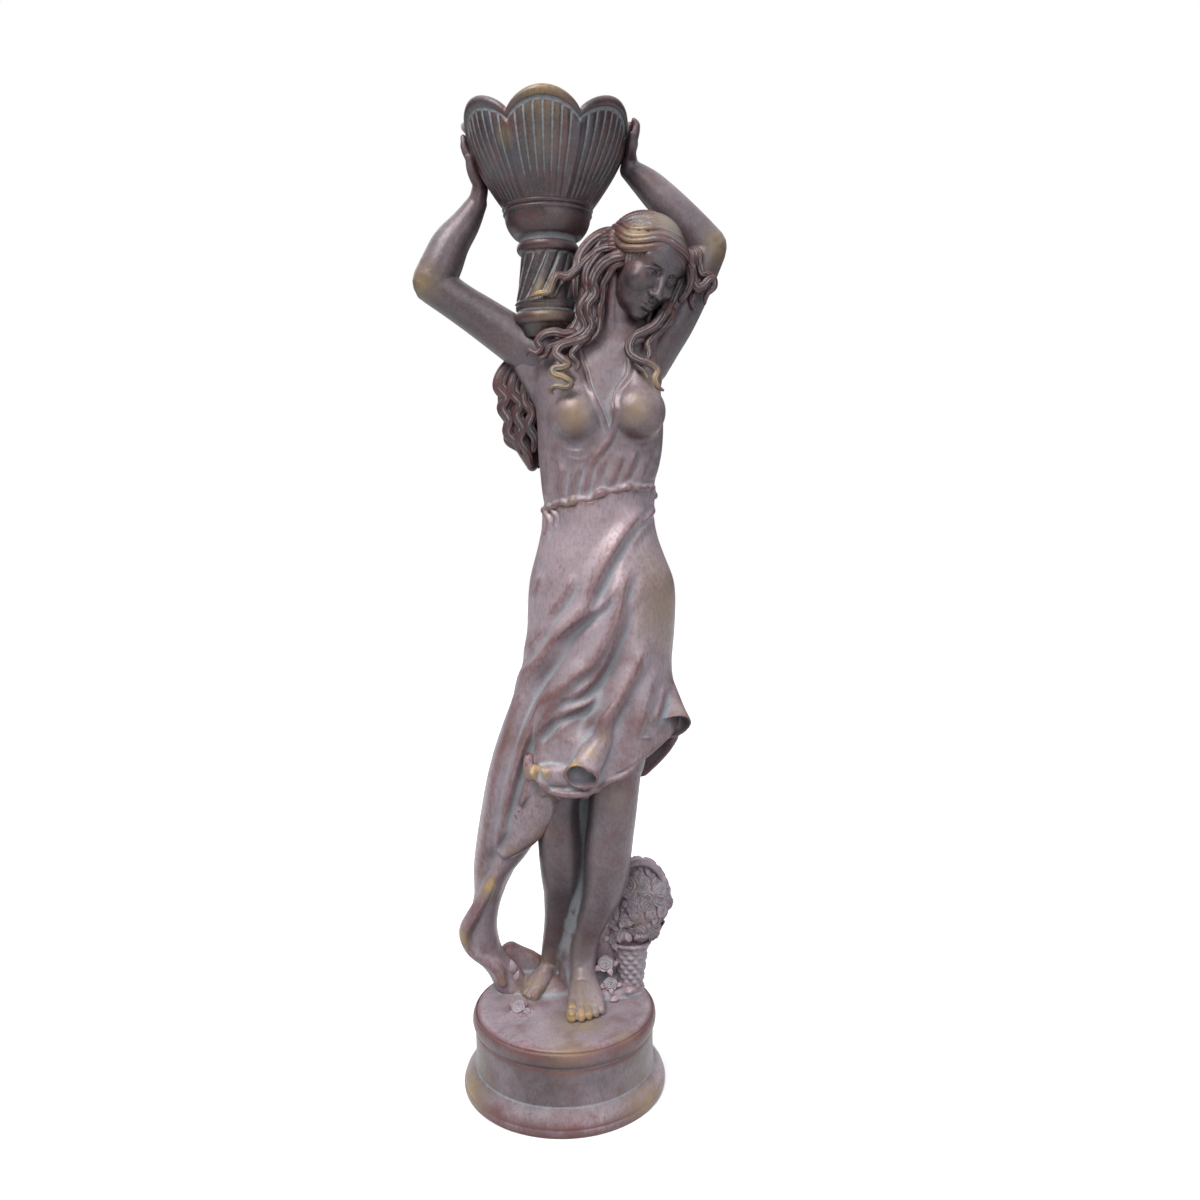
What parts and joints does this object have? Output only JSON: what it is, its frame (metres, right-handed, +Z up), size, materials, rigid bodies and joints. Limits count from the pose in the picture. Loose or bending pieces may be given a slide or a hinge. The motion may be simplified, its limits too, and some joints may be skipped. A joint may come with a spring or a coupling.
{
  "type": "garden statue",
  "caption": "Standing woman in a draped dress who carries a scalloped urn on her shoulder, with a flower basket at her feet, on a round turned plinth.",
  "frame": {"origin": "centre of the plinth's underside, on the surface that the statue stands on", "axes": "+Z up, -Y the way the figure faces, +X to the figure's left"},
  "size_m": [0.4713, 0.326, 1.4947],
  "materials": {
    "bronze_patina": "cast resin painted as aged bronze: dark plum brown, rubbed gold on raised forms, pale blue-grey wash in the hollows, satin",
    "plinth_patina": "cast resin painted as aged bronze: purple-grey with olive bronze patches and a pale wash in the creases, satin"
  },
  "bodies": {
    "root": {"figure": "bronze_patina", "plinth": "plinth_patina"}
  },
  "joints": []
}
